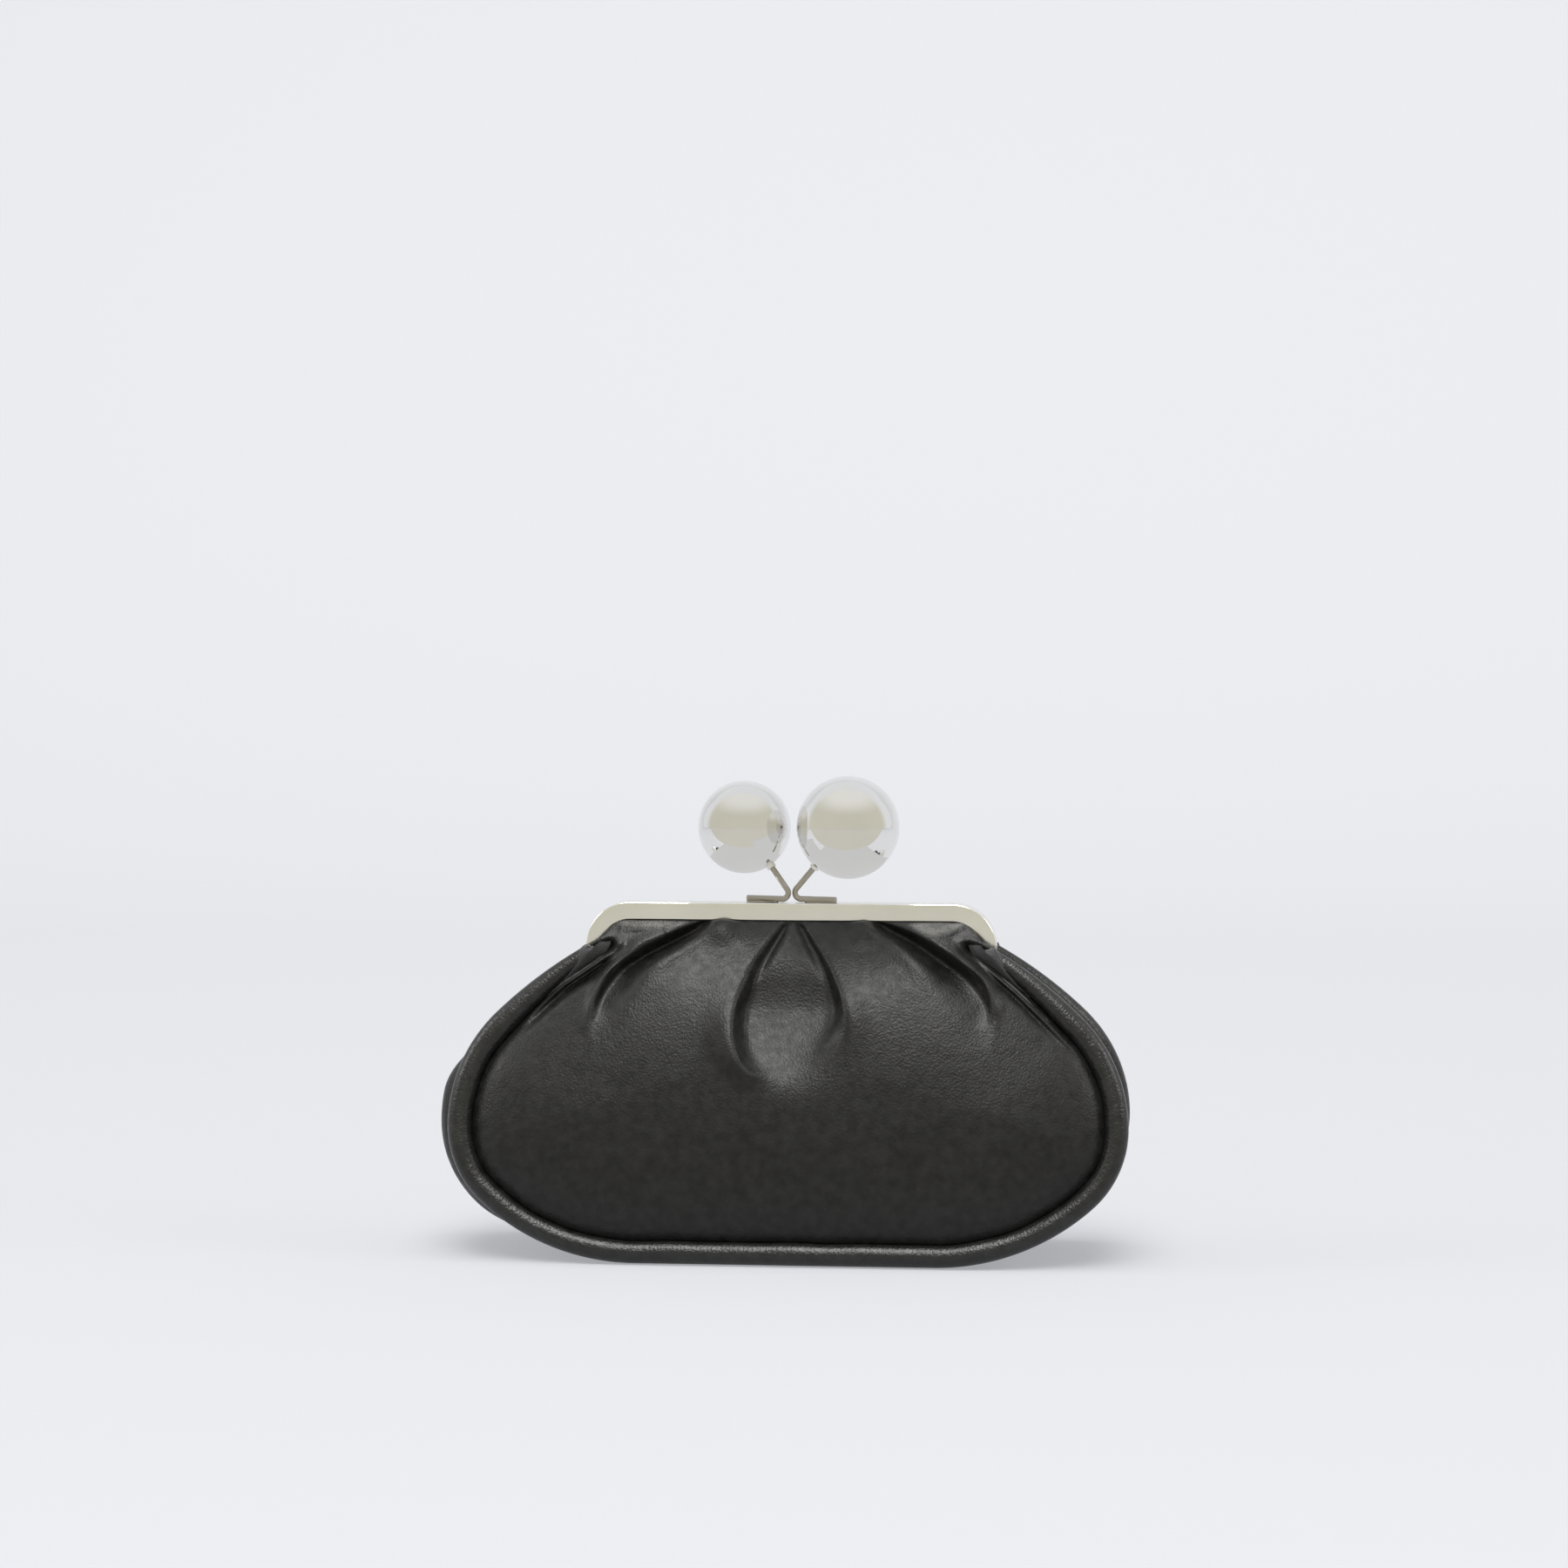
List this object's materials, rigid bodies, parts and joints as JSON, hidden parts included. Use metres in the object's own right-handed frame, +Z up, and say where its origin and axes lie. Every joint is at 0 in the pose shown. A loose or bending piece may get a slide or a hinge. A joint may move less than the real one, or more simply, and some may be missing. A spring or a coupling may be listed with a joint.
{
  "type": "kiss lock frame purse",
  "caption": "Black leather clutch with piped edges, gathered into a hinged metal channel frame that closes with two polished balls on crossed wire stems.",
  "frame": {"origin": "middle of the base, on the surface the purse stands on", "axes": "+X along the purse's length to the right seen from the front, -Y to the front, +Z up"},
  "size_m": [0.2666, 0.082, 0.1882],
  "materials": {
    "nickel_plate": "pale nickel plate, satin polished",
    "mirror_nickel": "mirror polished nickel plate",
    "black_leather": "soft black leather with a fine grain and a slight sheen",
    "lining_cloth": "black twill lining",
    "cotton_cord": "undyed cotton cord",
    "paper_cord": "twisted kraft paper"
  },
  "bodies": {
    "pouch": {"front_panel": "black_leather", "back_panel": "black_leather", "gusset": "black_leather", "front_piping": "black_leather", "back_piping": "black_leather", "front_piping_core": "cotton_cord", "back_piping_core": "cotton_cord", "front_lining": "lining_cloth", "back_lining": "lining_cloth", "gusset_lining": "lining_cloth", "left_hinge_rivet": "nickel_plate", "right_hinge_rivet": "nickel_plate"},
    "front_half": {"front_frame": "nickel_plate", "large_ball_stem": "nickel_plate", "large_ball": "mirror_nickel", "large_ball_socket": "nickel_plate", "front_gather": "black_leather", "front_gather_lining": "lining_cloth", "front_channel_cord": "paper_cord"},
    "back_half": {"back_frame": "nickel_plate", "small_ball_stem": "nickel_plate", "small_ball": "mirror_nickel", "small_ball_socket": "nickel_plate", "back_gather": "black_leather", "back_gather_lining": "lining_cloth", "back_channel_cord": "paper_cord"}
  },
  "joints": [
    {"name": "front_hinge", "type": "hinge", "parent": "pouch", "child": "front_half", "pos_m": [0, 0, 0.112], "axis": [1, 0, 0], "range_deg": [0, 50]},
    {"name": "back_hinge", "type": "hinge", "parent": "pouch", "child": "back_half", "pos_m": [0, 0, 0.112], "axis": [-1, 0, 0], "range_deg": [0, 50]}
  ],
  "couplings": [
    {"joint": "back_hinge", "follows": "front_hinge", "ratio": 1}
  ]
}
